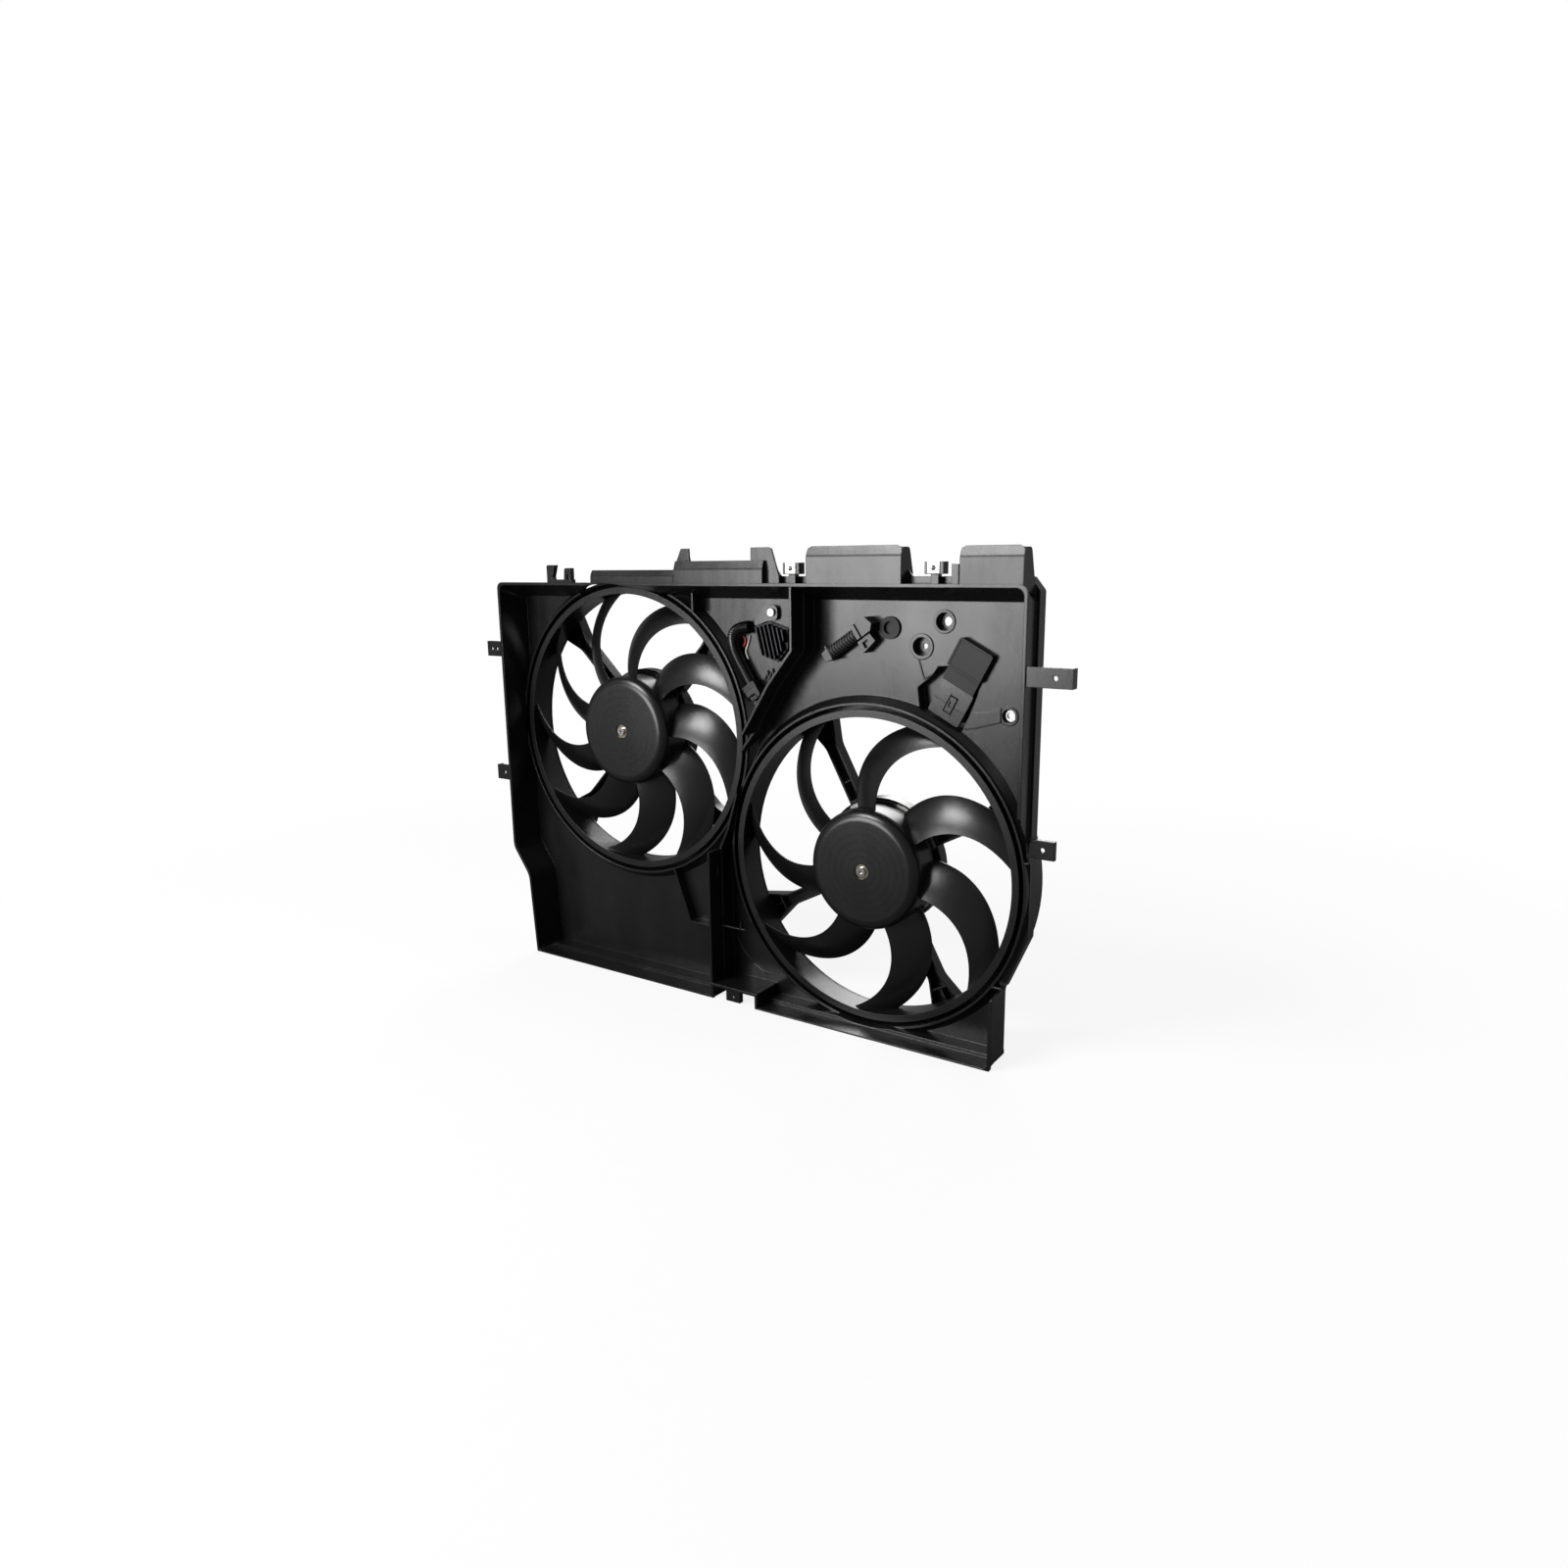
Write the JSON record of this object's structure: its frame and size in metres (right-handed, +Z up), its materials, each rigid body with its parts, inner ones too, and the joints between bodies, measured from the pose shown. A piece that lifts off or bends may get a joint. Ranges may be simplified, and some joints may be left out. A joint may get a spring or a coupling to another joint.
{
  "type": "radiator cooling fan",
  "caption": "Electric radiator cooling fan assembly: moulded shroud tray with banded axial fans, rear-mounted motors, control module, side tabs and top air guides.",
  "frame": {"origin": "middle of the bounding box in plan, at the height of the bottom edge on which the shroud stands", "axes": "+X to the right seen from the radiator side, along the width; +Y to the rear, along the fan axes and the air flow; +Z up"},
  "size_m": [0.859, 0.106, 0.5785],
  "materials": {
    "shroud_plastic": "moulded black, satin with a light grain, glossy where the tool is polished",
    "fan_plastic": "moulded black, satin",
    "motor_steel": "zinc-plated pressed steel",
    "plate_steel": "zinc-plated pressed steel",
    "ferrite": "sintered ferrite, matt dark grey",
    "card_resin": "moulded phenolic resin",
    "carbon": "pressed copper-graphite",
    "spring_steel": "spring steel, plated",
    "bearing_bronze": "sintered bronze, oil-filled",
    "screw_steel": "zinc-plated steel",
    "core_steel": "stacked steel sheets",
    "copper_wire": "enamelled copper wire",
    "copper_bar": "bare copper",
    "shaft_steel": "ground steel",
    "module_metal": "die-cast aluminium",
    "module_plastic": "moulded black, semi-gloss",
    "plug_plastic": "moulded black, semi-gloss",
    "resistor_metal": "black-finished finned casting",
    "conduit_plastic": "convoluted black sleeve",
    "red_insulation": "red insulation",
    "white_insulation": "white insulation",
    "grommet_rubber": "black rubber"
  },
  "bodies": {
    "root": {"shroud": "shroud_plastic", "left_motor_housing": "motor_steel", "left_motor_mount_plate": "plate_steel", "left_motor_end_cap": "motor_steel", "left_motor_magnets": "ferrite", "left_brush_card": "card_resin", "left_brushes": "carbon", "left_brush_springs": "spring_steel", "left_front_bearing": "bearing_bronze", "left_rear_bearing": "bearing_bronze", "left_motor_screws": "screw_steel", "right_motor_housing": "motor_steel", "right_motor_mount_plate": "plate_steel", "right_motor_end_cap": "motor_steel", "right_motor_magnets": "ferrite", "right_brush_card": "card_resin", "right_brushes": "carbon", "right_brush_springs": "spring_steel", "right_front_bearing": "bearing_bronze", "right_rear_bearing": "bearing_bronze", "right_motor_screws": "screw_steel", "module_body": "module_metal", "module_lid": "module_plastic", "module_plug": "plug_plastic", "module_plug_latch": "plug_plastic", "module_bracket_sleeve": "spring_steel", "resistor_block": "resistor_metal", "resistor_plate": "plate_steel", "resistor_screw": "screw_steel", "loom_sleeve": "conduit_plastic", "loom_plug": "plug_plastic", "red_wire": "red_insulation", "white_wire": "white_insulation", "harness_conduit": "conduit_plastic", "harness_end_plug": "plug_plastic", "harness_joint": "plug_plastic", "harness_side_plug": "plug_plastic", "harness_grommet": "grommet_rubber", "top_spring_nuts": "spring_steel"},
    "left_rotor": {"left_fan": "fan_plastic", "left_armature_core": "core_steel", "left_armature_windings": "copper_wire", "left_commutator": "copper_bar", "left_motor_shaft": "shaft_steel", "left_hub_washer": "screw_steel", "left_hub_screw": "screw_steel"},
    "right_rotor": {"right_fan": "fan_plastic", "right_armature_core": "core_steel", "right_armature_windings": "copper_wire", "right_commutator": "copper_bar", "right_motor_shaft": "shaft_steel", "right_hub_washer": "screw_steel", "right_hub_screw": "screw_steel"}
  },
  "joints": [
    {"name": "left_fan_spin", "type": "hinge", "parent": "root", "child": "left_rotor", "pos_m": [-0.19741, 0, 0.33902], "axis": [0, 1, 0], "continuous": true},
    {"name": "right_fan_spin", "type": "hinge", "parent": "root", "child": "right_rotor", "pos_m": [0.17541, 0, 0.2], "axis": [0, 1, 0], "continuous": true}
  ]
}
